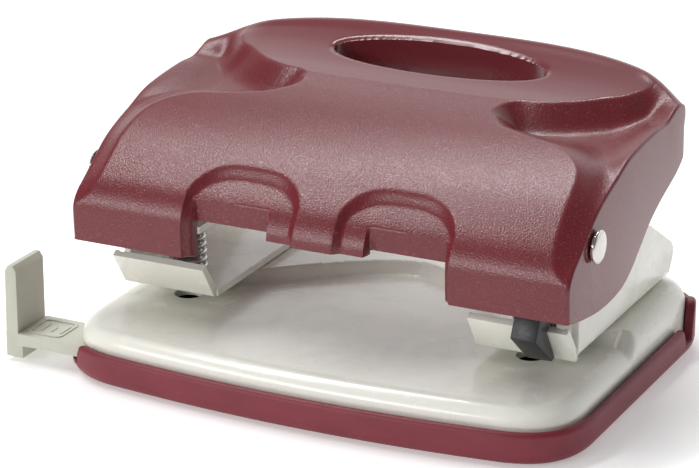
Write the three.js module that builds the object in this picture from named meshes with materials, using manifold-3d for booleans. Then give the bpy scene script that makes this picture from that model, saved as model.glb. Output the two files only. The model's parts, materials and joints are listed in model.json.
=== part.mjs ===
// Two-hole desk punch: steel base in a soft tray, two punch brackets, a moulded handle and a gauge.
// Millimetres, +Z up, +X to the right, front towards -Y. The origin is on the tray's underside,
// midway between the punches and in the plane of their axes.
import * as THREE from 'three';
import { mergeVertices } from 'three/addons/utils/BufferGeometryUtils.js';
import Module from 'manifold-3d';

const wasm = await Module();
wasm.setup();

// ---- driving dimensions -------------------------------------------------------------------
const GAP = 0.3;                       // clearance between neighbouring pieces
const PUNCH_X = 40;                    // half of the 80 mm hole spacing
const PIN_R = 2.75;
const PIN_TIP_Z = 14.8;                // tip of the raised pin, just inside the guide plate
const AXLE = { y: -7.65, z: 40.4, r: 1.8 };
const HANDLE_SWING = 28;               // degrees from raised to pressed
const PIN_PER_RADIAN = 10.5;           // pin travel for each radian of handle swing

const TABLE_Z = 11.5;                  // top of the paper table
const PLATFORM_Z = 14.2;               // top of the raised rear platform
const SHEET = 1.5;                     // steel thickness of base and brackets
const BASE = { left: -55.2, right: 58, front: -28.5, bow: 2.8, back: 53, corner: 13, bottom: 2.6 };
const TRAY = { wall: 2, floor: 1.6, rim: 7.5, lug: 12.5, lugY: 42 };
const RELEASE_NOTCH = { y0: 36.5, y1: 42, z: 4 };
const DIE = { r: PIN_R + GAP, z0: 5, z1: 20 };

const PLATE_Z = 14.5;                  // underside of the bracket plate, 3 mm above the table
const BRACKET = { inner: 29.8, outer: 52.5, lipFoot: -6, back: 47 };
const GUIDE = { inner: 34.5, front: -4.6, back: 5, z0: 27.5, z1: 29 };
const OPEN_HOLES = { xs: [35, 45.7], y: 35.8, r: 2.75 };
const RIVETS = { xs: [35, 46], y: 42, holeR: 1.8, shankR: 1.5, headR: 2.6 };
const PIN_HEAD = { r: 3.4, z0: 35, z1: 36.2 };
const SPRING = { lowR: 4, highR: 3.5, wire: 0.38, turns: 5, top: 25.5 };
const CLIP = { r: 4.3, z0: 26.2, z1: 27.2, mouth: 1.6 };
const CAM = { halfWidth: 3, hubR: 3.2, contactZ: 36.5 };
const CAM_SCREW = { y: 11.5, holeR: 1.6, boreR: 3.2, boreTop: 41.5, bossR: 3, bossZ: 50.6 };
const LOCK = { x0: 42.6, x1: 48.2 };
const COVER = { halfWidth: 56.1, wall: 1.6, cheek: 2.6, skirtZ: 27.9 };
const WINDOW = { inner: 11.3, outer: 28.7, springing: 42, top: 47.5, panelZ: 35.4, middleZ: 34.4 };
const PANEL = { front: -16.2, back: -14.4, foldTop: 44 };
const SLOT = { halfLength: 25, halfWidth: 7.2, y: 41, wall: 1.6, bottom: 49 };
const GAUGE = { top: 6.6, thick: 2.6, halfWidth: 6, y: -20, inner: 40, stopX: -67.4 };

// ---- materials ----------------------------------------------------------------------------
function material(color, roughness, metalness) {
  return new THREE.MeshStandardMaterial({ color, roughness, metalness });
}
const paint = () => material('#d9dad4', 0.25, 0.1);
const maroon = () => material('#8a4a50', 0.5, 0);
const trayRed = () => material('#8c2f3c', 0.55, 0);
const nickel = () => material('#c9c7c2', 0.22, 1);
const springSteel = () => material('#b9b9b7', 0.3, 1);
const toolSteel = () => material('#8f9092', 0.35, 1);
const blackPlastic = () => material('#26282b', 0.45, 0);
const greyPlastic = () => material('#c4c5be', 0.5, 0);

// ---- solids -------------------------------------------------------------------------------
function solid(geometry) {
  const bare = geometry.index ? geometry.toNonIndexed() : geometry.clone();
  bare.deleteAttribute('normal');
  bare.deleteAttribute('uv');
  const merged = mergeVertices(bare, 1e-4);
  const mesh = new wasm.Mesh({
    numProp: 3,
    vertProperties: new Float32Array(merged.attributes.position.array),
    triVerts: new Uint32Array(merged.index.array),
  });
  return new wasm.Manifold(mesh);
}

function geometryOf(body) {
  const mesh = body.getMesh();
  const geometry = new THREE.BufferGeometry();
  geometry.setAttribute('position', new THREE.BufferAttribute(mesh.vertProperties, 3));
  geometry.setIndex(new THREE.BufferAttribute(mesh.triVerts, 1));
  return geometry;
}

function joined(...bodies) {
  return bodies.reduce((sum, body) => sum.add(body));
}

function extruded(outline, depth) {
  const shape = Array.isArray(outline)
    ? new THREE.Shape(outline.map(([a, b]) => new THREE.Vector2(a, b)))
    : outline;
  return new THREE.ExtrudeGeometry(shape, { depth, bevelEnabled: false, curveSegments: 10 });
}

// An outline in (x, y), standing from z0 to z1.
function plan(outline, z0, z1) {
  return solid(extruded(outline, z1 - z0).translate(0, 0, z0));
}

// An outline in (y, z), reaching from x0 to x1.
function profile(outline, x0, x1) {
  const turn = new THREE.Matrix4().makeBasis(
    new THREE.Vector3(0, 1, 0), new THREE.Vector3(0, 0, 1), new THREE.Vector3(1, 0, 0));
  return solid(extruded(outline, x1 - x0).applyMatrix4(turn).translate(x0, 0, 0));
}

// An outline in (x, z), reaching from y0 to y1.
function elevation(outline, y0, y1) {
  return solid(extruded(outline, y1 - y0).rotateX(Math.PI / 2).translate(0, y1, 0));
}

function box(x0, x1, y0, y1, z0, z1) {
  const geometry = new THREE.BoxGeometry(x1 - x0, y1 - y0, z1 - z0);
  return solid(geometry.translate((x0 + x1) / 2, (y0 + y1) / 2, (z0 + z1) / 2));
}

function postZ(x, y, r, z0, z1, sides = 32) {
  const geometry = new THREE.CylinderGeometry(r, r, z1 - z0, sides);
  return solid(geometry.rotateX(Math.PI / 2).translate(x, y, (z0 + z1) / 2));
}

function rodX(y, z, r, x0, x1, sides = 32) {
  const geometry = new THREE.CylinderGeometry(r, r, x1 - x0, sides);
  return solid(geometry.rotateZ(Math.PI / 2).translate((x0 + x1) / 2, y, z));
}

// A turned piece: (radius, height) points about a vertical axis through (x, y).
function turned(points, x, y, sides = 32) {
  const geometry = new THREE.LatheGeometry(points.map(([r, z]) => new THREE.Vector2(r, z)), sides);
  return solid(geometry.rotateX(Math.PI / 2).translate(x, y, 0));
}

// A closed body through rings of [x, y, z] points. The rings stand at growing x, have the same
// number of points and run anticlockwise as seen from +X.
function loft(rings) {
  const count = rings[0].length;
  const last = (rings.length - 1) * count;
  const index = [];
  for (const [ring, turn] of [[0, 1], [rings.length - 1, -1]]) {
    const flat = rings[ring].map(([, y, z]) => new THREE.Vector2(y, z));
    for (const [a, b, c] of THREE.ShapeUtils.triangulateShape(flat, [])) {
      index.push(...(turn > 0 ? [c, b, a] : [last + a, last + b, last + c]));
    }
  }
  for (let ring = 0; ring < rings.length - 1; ring += 1) {
    for (let i = 0; i < count; i += 1) {
      const here = ring * count + i;
      const next = ring * count + (i + 1) % count;
      index.push(here, next, next + count);
      index.push(here, next + count, here + count);
    }
  }
  return new wasm.Manifold(new wasm.Mesh({
    numProp: 3,
    vertProperties: new Float32Array(rings.flat(2)),
    triVerts: new Uint32Array(index),
  }));
}

const punch = new THREE.Group();

function add(name, body, look) {
  const mesh = new THREE.Mesh(geometryOf(body), look);
  mesh.name = name;
  punch.add(mesh);
}

// ---- base and tray ------------------------------------------------------------------------
// Rounded rectangle with a bowed front edge, grown outwards by `grow`. The front corners carry
// the slope of the bow on, so the edge has no kink.
function footprint(grow) {
  const right = BASE.right + grow;
  const left = BASE.left - grow;
  const front = BASE.front - grow;
  const back = BASE.back + grow;
  const r = BASE.corner + grow;
  const middle = (left + right) / 2;
  const rise = 2 * BASE.bow * r / (right - r - middle);
  const shape = new THREE.Shape();
  shape.moveTo(right, front + rise + r);
  shape.lineTo(right, back - r);
  shape.absarc(right - r, back - r, r, 0, Math.PI / 2, false);
  shape.absarc(left + r, back - r, r, Math.PI / 2, Math.PI, false);
  shape.lineTo(left, front + rise + r);
  shape.quadraticCurveTo(left, front + rise, left + r, front);
  shape.quadraticCurveTo(middle, front - 2 * BASE.bow, right - r, front);
  shape.quadraticCurveTo(right, front + rise, right, front + rise + r);
  return shape;
}

// The platform's outline: everything behind the paper stop.
function platformArea(shrink) {
  const w = BASE.right + 10 - 4 * shrink;
  const outline = new THREE.Shape();
  outline.moveTo(w, 80);
  outline.lineTo(-w, 80);
  outline.lineTo(-w, 10 + shrink);
  outline.lineTo(-31, 11.6 + shrink);
  outline.bezierCurveTo(-22, 21, -12, 32 + shrink, 0, 32.6 + shrink);
  outline.bezierCurveTo(12, 32 + shrink, 22, 21, 31, 11.6 + shrink);
  outline.lineTo(w, 10 + shrink);
  return outline;
}

function basePlate() {
  const table = plan(footprint(0), BASE.bottom, TABLE_Z);
  const rear = plan(footprint(0), BASE.bottom, PLATFORM_Z).intersect(plan(platformArea(0), 0, 40));
  const hollowFront = plan(footprint(-SHEET), 0, TABLE_Z - SHEET);
  const hollowRear = plan(footprint(-SHEET), 0, PLATFORM_Z - SHEET)
    .intersect(plan(platformArea(SHEET), 0, 40));
  let body = table.add(rear).subtract(hollowFront).subtract(hollowRear);
  for (const side of [-1, 1]) {
    body = body.subtract(postZ(side * PUNCH_X, 0, DIE.r, DIE.z0, DIE.z1));
    for (const x of RIVETS.xs) {
      body = body.subtract(postZ(side * x, RIVETS.y, RIVETS.holeR, DIE.z0, DIE.z1, 24));
    }
  }
  const gaugeWindow = box(-62, -44, GAUGE.y - GAUGE.halfWidth - GAP, GAUGE.y + GAUGE.halfWidth + GAP,
    0, GAUGE.top + GAP);
  return body.subtract(gaugeWindow);
}

function chipTray() {
  const outer = plan(footprint(GAP + TRAY.wall), 0, TRAY.rim);
  const lug = plan(footprint(GAP + TRAY.wall), 0, TRAY.lug)
    .intersect(box(-90, 90, TRAY.lugY, 70, 0, 40));
  const inside = plan(footprint(GAP), TRAY.floor, 40);
  const gaugeNotch = box(-70, -46, GAUGE.y - GAUGE.halfWidth - GAP, GAUGE.y + GAUGE.halfWidth + GAP,
    GAUGE.top - GAUGE.thick - GAP, 20);
  const releaseNotch = box(50, 70, RELEASE_NOTCH.y0, RELEASE_NOTCH.y1, RELEASE_NOTCH.z, 20);
  return joined(outer, lug).subtract(inside).subtract(gaugeNotch).subtract(releaseNotch);
}

add('chip_tray', chipTray(), trayRed());
add('base_plate', basePlate(), paint());

// ---- paper gauge --------------------------------------------------------------------------
function paperGauge() {
  const low = GAUGE.top - GAUGE.thick;
  const y0 = GAUGE.y - GAUGE.halfWidth;
  const y1 = GAUGE.y + GAUGE.halfWidth;
  const bar = box(GAUGE.stopX, GAUGE.inner, y0, y1, low, GAUGE.top);
  const stop = elevation([[-3, 1], [0, 1], [0, 20.5], [-0.8, 21.6], [-2, 21.6], [-2.6, 20.5]],
    y0 + 0.5, y1 - 0.5).translate(GAUGE.stopX, 0, 0);
  const foot = box(GAUGE.stopX - 3, GAUGE.stopX + 1, y0 + 0.5, y1 - 0.5, 1, GAUGE.top);
  return joined(bar, foot, stop);
}

function gaugeSpring() {
  const low = GAUGE.top - GAUGE.thick;
  return elevation([[-50, low - 0.9], [-30, low - 0.9], [-24, low - 2.1], [-23.4, low - 2.1],
    [-24, low - 1.6], [-30, low - 0.4], [-50, low - 0.4]], GAUGE.y - 3, GAUGE.y + 3);
}

add('paper_gauge', paperGauge(), greyPlastic());
add('gauge_spring', gaugeSpring(), springSteel());

// ---- brackets with their punches ----------------------------------------------------------
const lipOutline = [[-6, PLATE_Z], [-11, 22], [-9.7, 22.8], [-4.9, PLATE_Z + SHEET]];

function bracket() {
  const { inner, outer, lipFoot, back } = BRACKET;
  const plate = box(inner, outer, lipFoot + 0.9, back, PLATE_Z, PLATE_Z + SHEET);
  const lip = profile(lipOutline, inner + 0.6, outer);
  const cheekOutline = new THREE.Shape();
  cheekOutline.moveTo(-5.2, PLATE_Z);
  cheekOutline.lineTo(AXLE.y - 3, AXLE.z);
  cheekOutline.absarc(AXLE.y, AXLE.z, 3, Math.PI, 0.4 * Math.PI, true);
  cheekOutline.lineTo(33.6, 31.7);
  cheekOutline.lineTo(46.5, 24);
  cheekOutline.quadraticCurveTo(49.5, 20, 48, 17.5);
  cheekOutline.lineTo(44, PLATE_Z);
  const cheek = profile(cheekOutline, outer - SHEET, outer);
  const guide = box(GUIDE.inner, outer, GUIDE.front, GUIDE.back, GUIDE.z0, GUIDE.z1);
  let body = joined(plate, lip, cheek, guide);
  body = body.subtract(postZ(PUNCH_X, 0, DIE.r, 10, 40));
  body = body.subtract(rodX(AXLE.y, AXLE.z, AXLE.r + GAP, 45, 60));
  for (const x of OPEN_HOLES.xs) {
    body = body.subtract(postZ(x, OPEN_HOLES.y, OPEN_HOLES.r, 10, 20));
  }
  for (const x of RIVETS.xs) {
    body = body.subtract(postZ(x, RIVETS.y, RIVETS.holeR, 10, 20, 24));
  }
  return body;
}

function punchPin() {
  const { r, z0, z1 } = PIN_HEAD;
  return turned([[0, PIN_TIP_Z + 0.9], [PIN_R - 0.25, PIN_TIP_Z], [PIN_R, PIN_TIP_Z + 0.25],
    [PIN_R, z0], [r, z0], [r, z1 - 0.3], [r - 0.3, z1], [0, z1]], PUNCH_X, 0);
}

class Coil extends THREE.Curve {
  getPoint(t, target = new THREE.Vector3()) {
    const angle = t * SPRING.turns * 2 * Math.PI;
    const radius = THREE.MathUtils.lerp(SPRING.lowR, SPRING.highR, t);
    const z = THREE.MathUtils.lerp(PLATE_Z + SHEET + GAP + SPRING.wire, SPRING.top, t);
    return target.set(PUNCH_X + radius * Math.cos(angle), radius * Math.sin(angle), z);
  }
}

function returnSpring() {
  const wire = new THREE.Shape();
  wire.absarc(0, 0, SPRING.wire, 0, 2 * Math.PI);
  return solid(new THREE.ExtrudeGeometry(wire, {
    steps: 80, curveSegments: 3, bevelEnabled: false, extrudePath: new Coil(),
  }));
}

function retainingClip() {
  const ring = postZ(PUNCH_X, 0, CLIP.r, CLIP.z0, CLIP.z1);
  const mouth = box(PUNCH_X - CLIP.mouth, PUNCH_X + CLIP.mouth, -6, -2, 26, 28);
  return ring.subtract(postZ(PUNCH_X, 0, PIN_R + 0.15, 26, 28)).subtract(mouth);
}

function rivet(x) {
  const top = PLATE_Z + SHEET + GAP;
  const under = PLATFORM_Z - SHEET - GAP;
  const { headR, shankR, y } = RIVETS;
  return turned([[0, under - 1], [headR - 0.2, under - 1], [headR, under - 0.6], [headR, under],
    [shankR, under], [shankR, top], [headR, top], [headR - 0.3, top + 0.7], [1.4, top + 1.1],
    [0, top + 1.2]], x, y, 24);
}

// The press cam's lower edge is the involute that moves a flat pin head evenly with the swing.
function pressCam() {
  const drop = CAM.contactZ - AXLE.z;
  const edge = [];
  for (let degrees = -8; degrees <= HANDLE_SWING + 6; degrees += 3) {
    const swing = THREE.MathUtils.degToRad(degrees);
    const y = PIN_PER_RADIAN;
    const z = drop - PIN_PER_RADIAN * swing;
    edge.push([
      AXLE.y + y * Math.cos(swing) - z * Math.sin(swing),
      AXLE.z + y * Math.sin(swing) + z * Math.cos(swing),
    ]);
  }
  const outline = [[AXLE.y, AXLE.z - 3], ...edge, [15.5, 44.2], [15.5, 50.2], [8.4, 49.8],
    [0.7, 47.6], [-5, 44.3]];
  const x0 = PUNCH_X - CAM.halfWidth;
  const x1 = PUNCH_X + CAM.halfWidth;
  const web = profile(outline, x0, x1);
  const hub = rodX(AXLE.y, AXLE.z, CAM.hubR, x0, x1);
  return joined(web, hub).subtract(rodX(AXLE.y, AXLE.z, AXLE.r + GAP, 30, 50))
    .subtract(postZ(PUNCH_X, CAM_SCREW.y, CAM_SCREW.holeR, 40, 60, 24))
    .subtract(postZ(PUNCH_X, CAM_SCREW.y, CAM_SCREW.boreR, 30, CAM_SCREW.boreTop, 24));
}

function camScrew() {
  return turned([[0, 39.6], [2.6, 39.6], [2.9, 40], [2.9, 41.2], [1.3, 41.2], [1.3, 51.6], [0, 52.2]],
    PUNCH_X, CAM_SCREW.y, 24);
}

function mirrored(body, side) {
  return side > 0 ? body : body.mirror([1, 0, 0]);
}

for (const [word, side] of [['left', -1], ['right', 1]]) {
  add(`${word}_bracket`, mirrored(bracket(), side), paint());
  add(`${word}_punch_pin`, mirrored(punchPin(), side), toolSteel());
  add(`${word}_return_spring`, returnSpring().translate(side > 0 ? 0 : -2 * PUNCH_X, 0, 0), springSteel());
  add(`${word}_retaining_clip`, mirrored(retainingClip(), side), springSteel());
  add(`${word}_inner_rivet`, mirrored(rivet(RIVETS.xs[0]), side), nickel());
  add(`${word}_outer_rivet`, mirrored(rivet(RIVETS.xs[1]), side), nickel());
  add(`${word}_press_cam`, mirrored(pressCam(), side), toolSteel());
  add(`${word}_cam_screw`, mirrored(camScrew(), side), nickel());
}

// ---- lock slider on the right lip ---------------------------------------------------------
function lockSlider() {
  const outline = [[-17.5, 22], [-8.8, 14.8], [-6.4, 15.2], [-5, 18.2], [-8.6, 26.8], [-15.2, 26.8]];
  const track = [[-5.4, 13.8], [-6.6, PLATE_Z - GAP], [-11.6, 22.2], [-9.6, 23.4], [-4.4, 15.8]];
  return profile(outline, LOCK.x0, LOCK.x1).subtract(profile(track, LOCK.x0 - 2, LOCK.x1 + 2));
}

add('lock_slider', lockSlider(), blackPlastic());

// ---- handle -------------------------------------------------------------------------------
// Sections of the moulded cover at four distances from the middle: each runs from the front
// skirt's lower edge, over the front and top, to the rear edge.
const SECTIONS = [
  { x: 0, points: [[-20, 27.9], [-20.3, 32], [-20.2, 36.5], [-17.6, 41], [-13, 45.3], [-7.5, 49.3],
    [-1, 52.3], [7, 54.6], [16, 56], [25.4, 56.7], [34, 57.3], [44, 58.9], [51, 61], [54, 61.3],
    [55.2, 59.4], [54.9, 56.4]] },
  { x: 30, points: [[-20, 27.9], [-20.3, 32], [-20.2, 36.5], [-17.6, 41], [-13, 45.3], [-7.5, 49.3],
    [-1, 52.2], [7, 54.4], [17, 55.9], [28.3, 56.9], [35, 57.5], [44, 59], [50, 60.6], [53, 60.6],
    [54.1, 58.7], [53.8, 55.8]] },
  { x: 49, points: [[-20, 28], [-20.1, 32.2], [-19.8, 36.6], [-16.6, 40.8], [-12.2, 44.7], [-7.2, 48],
    [0, 50.4], [9, 52.4], [23, 55.2], [37, 58.2], [40, 58.8], [43.5, 59.3], [46, 59.3], [47.5, 58.2],
    [48.3, 56.4], [48, 54.2]] },
  { x: 56.1, points: [[-20, 28.4], [-20.1, 32.5], [-20, 36.8], [-15.5, 40.7], [-11, 44], [-5.5, 47],
    [1, 49.2], [8, 51.3], [15, 53.3], [22.5, 54.7], [29, 55.1], [35, 55.4], [39.5, 55.6],
    [41.3, 54.6], [42, 53.4], [42.2, 52]] },
];

// The section at any x, straight between neighbouring sections.
function sectionAt(x) {
  const across = Math.abs(x);
  const upper = Math.max(1, SECTIONS.findIndex((section) => section.x >= across - 1e-6));
  const low = SECTIONS[upper - 1];
  const high = SECTIONS[upper];
  const t = (across - low.x) / (high.x - low.x);
  return low.points.map(([y, z], i) => [
    THREE.MathUtils.lerp(y, high.points[i][0], t),
    THREE.MathUtils.lerp(z, high.points[i][1], t),
  ]);
}

// The same section, moved inwards by the wall thickness.
function offset(points, distance) {
  return points.map(([y, z], i) => {
    const [y0, z0] = points[Math.max(0, i - 1)];
    const [y1, z1] = points[Math.min(points.length - 1, i + 1)];
    const length = Math.hypot(y1 - y0, z1 - z0);
    return [y + distance * (z1 - z0) / length, z - distance * (y1 - y0) / length];
  });
}

function coverBlock(halfWidth, wall, floor) {
  const rings = [];
  const steps = 28;
  for (let i = 0; i <= steps; i += 1) {
    const x = THREE.MathUtils.lerp(-halfWidth, halfWidth, i / steps);
    const points = offset(sectionAt(x), wall);
    const [y0] = points[0];
    const [y1] = points[points.length - 1];
    const ring = [[y0, floor], ...points, [y1, floor]].reverse();
    rings.push(ring.map(([y, z]) => [x, y, z]));
  }
  return loft(rings);
}

// Side cheek of the handle, a slanted band that carries the axle.
function cheekBand(x0, x1) {
  const outline = new THREE.Shape();
  const front = SECTIONS[3].points;
  outline.moveTo(...front[0]);
  front.slice(1).forEach(([y, z]) => outline.lineTo(y, z));
  outline.lineTo(42.7, 45.6);
  outline.quadraticCurveTo(42.5, 43, 39.4, 41.5);
  outline.lineTo(30.3, 38.1);
  outline.quadraticCurveTo(25, 35.5, 19, 32);
  outline.bezierCurveTo(14, 27.5, 10, 25.2, 3, 25);
  outline.bezierCurveTo(-5, 25, -12, 26, -16.1, 27);
  return profile(outline, x0, x1);
}

// Ellipse in plan, centred on the finger slot.
function oval(halfLength, halfWidth) {
  const shape = new THREE.Shape();
  shape.absellipse(0, SLOT.y, halfLength, halfWidth, 0, 2 * Math.PI);
  return shape;
}

// Arched window in the front of the handle, between the middle part and a side skirt.
function windowArch(side, grow) {
  const { springing } = WINDOW;
  const inner = WINDOW.inner - grow;
  const outer = WINDOW.outer + grow;
  const top = WINDOW.top + grow;
  const shape = new THREE.Shape();
  shape.moveTo(side * inner, 20);
  shape.lineTo(side * inner, springing);
  shape.quadraticCurveTo(side * inner, top - 1, side * (inner + 6), top);
  shape.lineTo(side * (outer - 6), top);
  shape.quadraticCurveTo(side * outer, top - 1, side * outer, springing);
  shape.lineTo(side * outer, 20);
  return shape;
}

function handleCover() {
  const { halfWidth, wall, cheek } = COVER;
  const outside = coverBlock(halfWidth, 0, COVER.skirtZ);
  const inside = coverBlock(halfWidth - cheek, wall, 10);
  const belowEdge = profile([[-15, 10], [70, 10], [70, 55.6], [40, 54.8], [-15, 28]], -60, 60);
  let body = outside.subtract(inside).subtract(belowEdge.subtract(box(-60, 60, -30, -15, 0, 60)));
  for (const side of [-1, 1]) {
    const x0 = side > 0 ? halfWidth - cheek : -halfWidth;
    body = body.add(cheekBand(x0, x0 + cheek));
    const cut = elevation(windowArch(side, 0), -30, -5);
    const [near, far] = [WINDOW.inner - 1, WINDOW.outer + 1].map((x) => side * x).sort((a, b) => a - b);
    const behind = box(near, far, PANEL.front, PANEL.back, WINDOW.panelZ, PANEL.foldTop);
    const panel = elevation(windowArch(side, 1), PANEL.front, -5).intersect(outside).subtract(inside)
      .subtract(box(-40, 40, -30, 10, 10, WINDOW.panelZ));
    body = body.subtract(cut).add(panel).add(behind.intersect(outside));
    const { y, bossR, bossZ, holeR } = CAM_SCREW;
    const boss = postZ(side * PUNCH_X, y, bossR, bossZ, 56).intersect(outside);
    body = body.add(boss).subtract(postZ(side * PUNCH_X, y, holeR, 49, 52.9, 24));
  }
  body = body.subtract(box(-WINDOW.inner, WINDOW.inner, -30, -10, 20, WINDOW.middleZ));
  const collar = plan(oval(SLOT.halfLength + SLOT.wall, SLOT.halfWidth + SLOT.wall), SLOT.bottom, 70);
  body = body.add(collar.intersect(outside));
  body = body.subtract(plan(oval(SLOT.halfLength, SLOT.halfWidth), 40, 80));
  return body.subtract(rodX(AXLE.y, AXLE.z, AXLE.r + GAP, -60, 60));
}

function axleCap() {
  const { y, z } = AXLE;
  const washer = rodX(y, z, 3, COVER.halfWidth + GAP, COVER.halfWidth + 0.7);
  const dome = turned([[0, 0], [3.5, 0], [3.5, 0.3], [2.6, 0.8], [1.4, 1.1], [0, 1.2]], 0, 0)
    .rotate([0, 90, 0]).translate(COVER.halfWidth + 0.6, y, z);
  return joined(washer, dome);
}

function axleWasher() {
  const x0 = BRACKET.outer + GAP;
  return rodX(AXLE.y, AXLE.z, 3.2, x0, x0 + 0.4)
    .subtract(rodX(AXLE.y, AXLE.z, AXLE.r + GAP, 40, 60));
}

add('handle_cover', handleCover(), maroon());
add('axle', rodX(AXLE.y, AXLE.z, AXLE.r, -COVER.halfWidth, COVER.halfWidth), nickel());
for (const [word, side] of [['left', -1], ['right', 1]]) {
  add(`${word}_axle_cap`, mirrored(axleCap(), side), nickel());
  add(`${word}_axle_washer`, mirrored(axleWasher(), side), nickel());
}

export default punch;
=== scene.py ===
# %% [markdown]
# A two-hole desk punch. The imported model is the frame: it says where everything is, and every piece
# made here is placed by it. Everything is in metres, with +X to the right along the row of holes,
# +Y away from the paper and +Z up. Sizes below are written in millimetres, as on a drawing.

# %% Load the frame
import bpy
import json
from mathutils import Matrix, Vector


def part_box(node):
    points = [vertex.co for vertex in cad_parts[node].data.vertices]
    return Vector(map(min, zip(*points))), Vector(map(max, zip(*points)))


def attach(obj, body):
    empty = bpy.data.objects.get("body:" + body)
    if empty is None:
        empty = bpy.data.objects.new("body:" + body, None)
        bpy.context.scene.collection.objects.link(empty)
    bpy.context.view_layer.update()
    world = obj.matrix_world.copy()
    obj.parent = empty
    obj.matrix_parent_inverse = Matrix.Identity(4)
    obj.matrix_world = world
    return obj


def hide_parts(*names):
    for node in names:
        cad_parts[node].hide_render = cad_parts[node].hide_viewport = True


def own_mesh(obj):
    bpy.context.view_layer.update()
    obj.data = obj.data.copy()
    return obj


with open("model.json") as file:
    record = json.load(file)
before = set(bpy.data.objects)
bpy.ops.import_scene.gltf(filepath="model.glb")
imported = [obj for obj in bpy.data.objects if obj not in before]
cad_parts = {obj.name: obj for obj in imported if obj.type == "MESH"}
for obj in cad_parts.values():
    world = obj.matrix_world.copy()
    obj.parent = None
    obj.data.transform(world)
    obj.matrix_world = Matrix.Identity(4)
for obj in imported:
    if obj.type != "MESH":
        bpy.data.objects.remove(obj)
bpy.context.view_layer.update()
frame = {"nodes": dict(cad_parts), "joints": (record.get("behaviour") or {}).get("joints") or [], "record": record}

import json
import math
import bmesh
import bpy
import numpy as np
from mathutils import Vector

MM = 0.001


# %% [markdown]
# A few sizes come straight from the frame: the pivot of the handle, and the boxes of the pieces that
# the finer ones below replace.

# %% Driving sizes
def node_box(node):
    low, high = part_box(node)
    return np.array(low) / MM, np.array(high) / MM


PIVOT = next(joint for joint in frame["joints"] if joint["name"] == "handle_pivot")
AXLE_Y, AXLE_Z = [value / MM for value in PIVOT["pos_m"][1:]]
COVER_HIGH = node_box("handle_cover")[1]
BASE_LOW, BASE_HIGH = node_box("base_plate")
TRAY_LOW = node_box("chip_tray")[0]
GAUGE_LOW, GAUGE_HIGH = node_box("paper_gauge")
LOCK_LOW, LOCK_HIGH = node_box("lock_slider")
PIN_LOW, PIN_HIGH = node_box("right_punch_pin")
BRACKET_LOW, BRACKET_HIGH = node_box("right_bracket")
PUNCH_X = (PIN_LOW[0] + PIN_HIGH[0]) / 2
SHEET = 1.5
GAP = 0.3
TABLE_Z = 11.5
PLATFORM_Z = BASE_HIGH[2]
PLATE_Z = BRACKET_LOW[2]
PIN_BORE = 3.05
AXLE_BORE = 2.1
RIVET_Y = 42
RIVET_X = {"inner": 35, "outer": 46}
SIDES = (("left", -1), ("right", 1))
print("punch spacing", 2 * PUNCH_X, "mm; pivot", AXLE_Y, AXLE_Z)


# %% [markdown]
# Meshes are made from plain lists of points and faces. A piece keeps its place in its mesh, so its
# object stays at the origin. Edges sharper than a given angle stay crisp and the rest is shaded smooth.

# %% Mesh helpers
def mesh_object(name, points, faces, crisp=35):
    mesh = bpy.data.meshes.new(name)
    mesh.from_pydata([tuple(float(c) * MM for c in p) for p in points], [], faces)
    mesh.update()
    piece = bpy.data.objects.new(name, mesh)
    bpy.context.scene.collection.objects.link(piece)
    return shaded(piece, crisp)


def shaded(piece, crisp=35):
    mesh = piece.data
    work = bmesh.new()
    work.from_mesh(mesh)
    bmesh.ops.remove_doubles(work, verts=work.verts, dist=1e-7)
    bmesh.ops.triangulate(work, faces=[face for face in work.faces if len(face.verts) > 4])
    bmesh.ops.recalc_face_normals(work, faces=work.faces)
    work.to_mesh(mesh)
    work.free()
    for polygon in mesh.polygons:
        polygon.use_smooth = True
    mesh.set_sharp_from_angle(angle=math.radians(crisp))
    return piece


def settled(piece, crisp=35):
    """Turns a piece's modifiers into plain mesh."""
    evaluated = piece.evaluated_get(bpy.context.evaluated_depsgraph_get())
    mesh = bpy.data.meshes.new_from_object(evaluated)
    piece.modifiers.clear()
    piece.data = mesh
    return shaded(piece, crisp)


def remove(piece):
    bpy.data.objects.remove(piece, do_unlink=True)


def combine(piece, tools, operation, crisp=35, solver="MANIFOLD"):
    for tool in tools:
        modifier = piece.modifiers.new(operation, "BOOLEAN")
        modifier.operation = operation
        modifier.solver = solver
        modifier.object = tool
    settled(piece, crisp)
    for tool in tools:
        remove(tool)
    return piece


def bevelled(piece, width, segments, angle):
    modifier = piece.modifiers.new("edge", "BEVEL")
    modifier.width = width * MM
    modifier.segments = segments
    modifier.limit_method = "ANGLE"
    modifier.angle_limit = math.radians(angle)
    modifier.harden_normals = False
    return settled(piece)


def wall_faces(count, rings):
    """Faces between rings that have the same number of points."""
    faces = []
    for k in range(rings - 1):
        for i in range(count):
            j = (i + 1) % count
            faces.append([k * count + i, k * count + j, (k + 1) * count + j, (k + 1) * count + i])
    return faces


def loft(name, rings, crisp=35):
    """A closed body through rings that have the same number of points."""
    count = len(rings[0])
    last = (len(rings) - 1) * count
    ends = [list(range(count)), list(range(last, last + count))]
    return mesh_object(name, np.vstack(rings), ends + wall_faces(count, len(rings)), crisp)


def prism(name, outline, low, high, axis):
    """An outline drawn across an axis, reaching from low to high along it."""
    place = {
        "x": lambda a, b, t: (t, a, b),
        "y": lambda a, b, t: (a, t, b),
        "z": lambda a, b, t: (a, b, t),
    }[axis]
    return loft(name, [[place(a, b, end) for a, b in outline] for end in (low, high)])


def block(name, low, high):
    (x0, y0, z0), (x1, y1, z1) = low, high
    return prism(name, [(x0, y0), (x1, y0), (x1, y1), (x0, y1)], z0, z1, "z")


TURNED_SIDES = 64


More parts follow.
